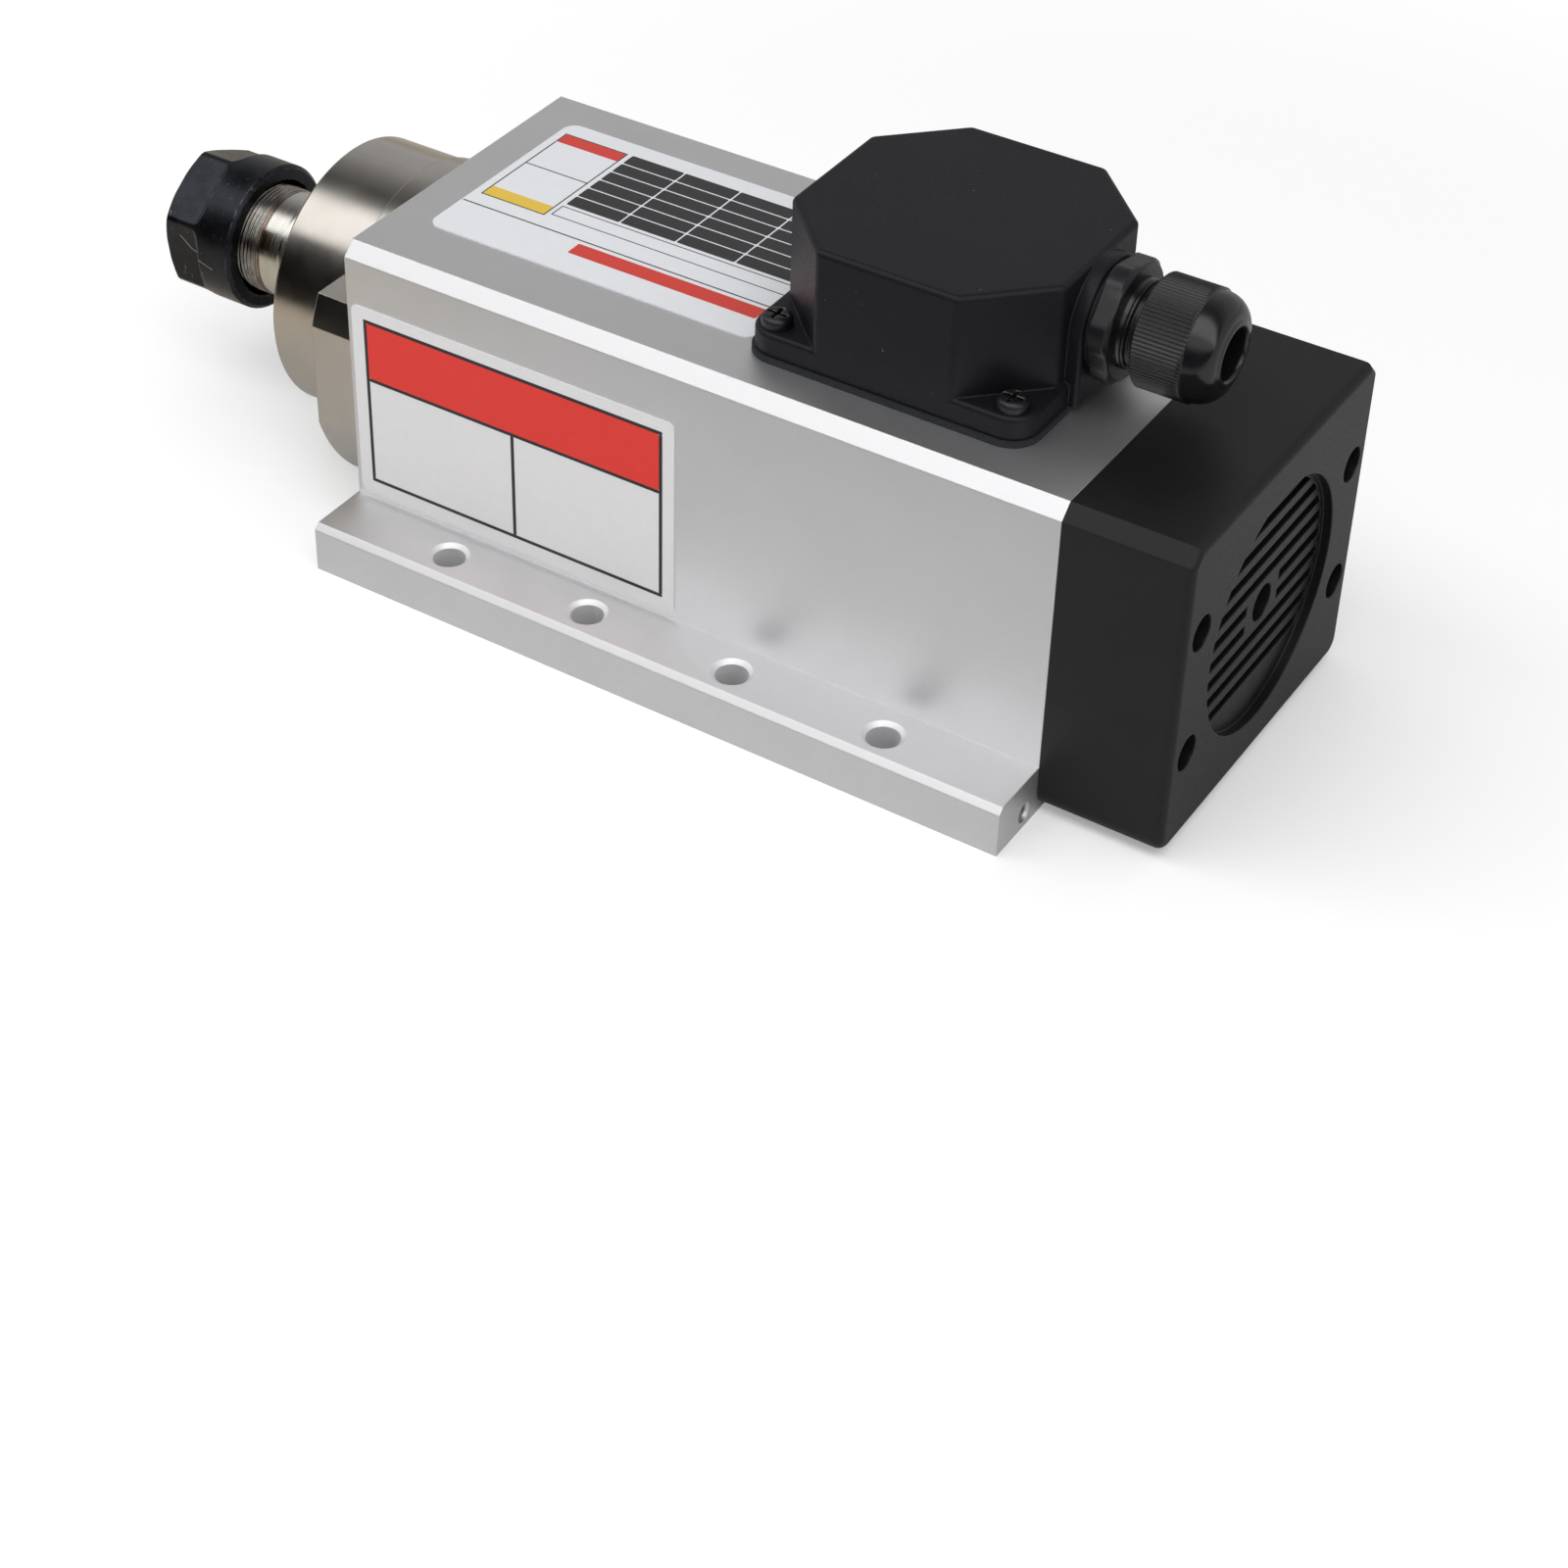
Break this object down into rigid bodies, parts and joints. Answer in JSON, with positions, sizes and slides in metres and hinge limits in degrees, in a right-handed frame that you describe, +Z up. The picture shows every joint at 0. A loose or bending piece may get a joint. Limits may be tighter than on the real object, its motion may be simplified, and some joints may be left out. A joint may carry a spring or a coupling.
{
  "type": "motor spindle",
  "caption": "Square-bodied air-cooled motor spindle with flanged base, collet nose, rear fan cover, terminal box and cable gland.",
  "frame": {"origin": "centre of the eight mounting holes, on the base plane", "axes": "+X from the collet nose to the fan cover along the spindle, +Z up from the base, -Y towards the side with the label"},
  "size_m": [0.2671, 0.111, 0.1014],
  "materials": {
    "body": "fine bead-blasted and silver anodised, satin, with bright milled chamfers",
    "nose": "nickel-plated and turned, bright",
    "ground_steel": "ground steel",
    "nut_steel": "black oxide, worn bright at the rim",
    "collet_steel": "hardened and ground spring steel",
    "black_screw": "black oxide screws",
    "bearing_steel": "ground bearing steel",
    "retainer": "turned aluminium",
    "core_steel": "stacked electrical steel laminations",
    "end_ring": "cast aluminium",
    "copper": "varnished copper wire with tied end turns",
    "bracket": "die-cast aluminium",
    "fan": "moulded black nylon",
    "screw_steel": "zinc-plated steel",
    "terminal_brass": "brass terminal screws",
    "cover_plastic": "moulded black plastic with a fine grain",
    "box_plastic": "moulded black plastic with a fine grain",
    "block_plastic": "ivory moulded plastic",
    "gasket": "black rubber sheet",
    "gland_plastic": "black nylon",
    "gland_rubber": "black rubber",
    "plate_film": "printed film, left blank of words",
    "label_film": "printed film, left blank of words"
  },
  "bodies": {
    "frame": {"bearing_retainer": "retainer", "body_housing": "body", "box_gasket": "gasket", "box_screw_1": "black_screw", "box_screw_2": "black_screw", "box_screw_3": "black_screw", "box_screw_4": "black_screw", "cover_screw_1": "black_screw", "cover_screw_2": "black_screw", "cover_screw_3": "black_screw", "cover_screw_4": "black_screw", "front_bearing_a_outer": "bearing_steel", "front_bearing_b_outer": "bearing_steel", "gland_body": "gland_plastic", "gland_seal": "gland_rubber", "gland_washer": "gland_rubber", "nose_housing": "nose", "nose_screw_1": "black_screw", "nose_screw_2": "black_screw", "nose_screw_3": "black_screw", "nose_screw_4": "black_screw", "preload_spring": "bearing_steel", "rating_plate": "plate_film", "rear_bearing_outer": "bearing_steel", "rear_bracket": "bracket", "rear_cover": "cover_plastic", "side_label": "label_film", "stator_core": "core_steel", "stator_windings": "copper", "terminal_block": "block_plastic", "terminal_box": "box_plastic", "terminal_screw_1": "terminal_brass", "terminal_screw_2": "terminal_brass", "terminal_screw_3": "terminal_brass"},
    "rotor": {"spindle_shaft": "ground_steel", "labyrinth_ring": "ground_steel", "front_bearing_a_inner": "bearing_steel", "front_bearing_b_inner": "bearing_steel", "rear_bearing_inner": "bearing_steel", "rotor_core": "core_steel", "rotor_end_ring_front": "end_ring", "rotor_end_ring_rear": "end_ring", "cooling_fan": "fan", "fan_screw": "screw_steel", "fan_washer": "screw_steel"},
    "front_balls_a": {"front_bearing_a_balls": "bearing_steel"},
    "front_balls_b": {"front_bearing_b_balls": "bearing_steel"},
    "rear_balls": {"rear_bearing_balls": "bearing_steel"},
    "collet_carrier": {"collet": "collet_steel"},
    "nut": {"collet_nut": "nut_steel"},
    "gland_ring": {"gland_thrust_ring": "gland_plastic"},
    "gland_cap": {"gland_nut": "gland_plastic"}
  },
  "joints": [
    {"name": "spindle_spin", "type": "hinge", "parent": "frame", "child": "rotor", "pos_m": [0, 0, 0.0373], "axis": [1, 0, 0], "continuous": true},
    {"name": "front_balls_a_spin", "type": "hinge", "parent": "frame", "child": "front_balls_a", "pos_m": [-0.102, 0, 0.0373], "axis": [1, 0, 0], "continuous": true},
    {"name": "front_balls_b_spin", "type": "hinge", "parent": "frame", "child": "front_balls_b", "pos_m": [-0.09, 0, 0.0373], "axis": [1, 0, 0], "continuous": true},
    {"name": "rear_balls_spin", "type": "hinge", "parent": "frame", "child": "rear_balls", "pos_m": [0.071, 0, 0.0373], "axis": [1, 0, 0], "continuous": true},
    {"name": "collet_slide", "type": "slide", "parent": "rotor", "child": "collet_carrier", "axis": [-1, 0, 0], "range_m": [0, 0.005]},
    {"name": "nut_turn", "type": "hinge", "parent": "collet_carrier", "child": "nut", "pos_m": [-0.147, 0, 0.0373], "axis": [-1, 0, 0], "range_deg": [0, 1080]},
    {"name": "gland_slide", "type": "slide", "parent": "frame", "child": "gland_ring", "axis": [1, 0, 0], "range_m": [0, 0.005]},
    {"name": "gland_turn", "type": "hinge", "parent": "gland_ring", "child": "gland_cap", "pos_m": [0.088, 0.001, 0.089], "axis": [1, 0, 0], "range_deg": [0, 1080]}
  ],
  "couplings": [
    {"joint": "front_balls_a_spin", "follows": "spindle_spin", "ratio": 0.402},
    {"joint": "front_balls_b_spin", "follows": "spindle_spin", "ratio": 0.402},
    {"joint": "rear_balls_spin", "follows": "spindle_spin", "ratio": 0.404},
    {"joint": "collet_slide", "follows": "nut_turn", "m_per_rad": 0.00023873},
    {"joint": "gland_slide", "follows": "gland_turn", "m_per_rad": 0.00023873}
  ]
}
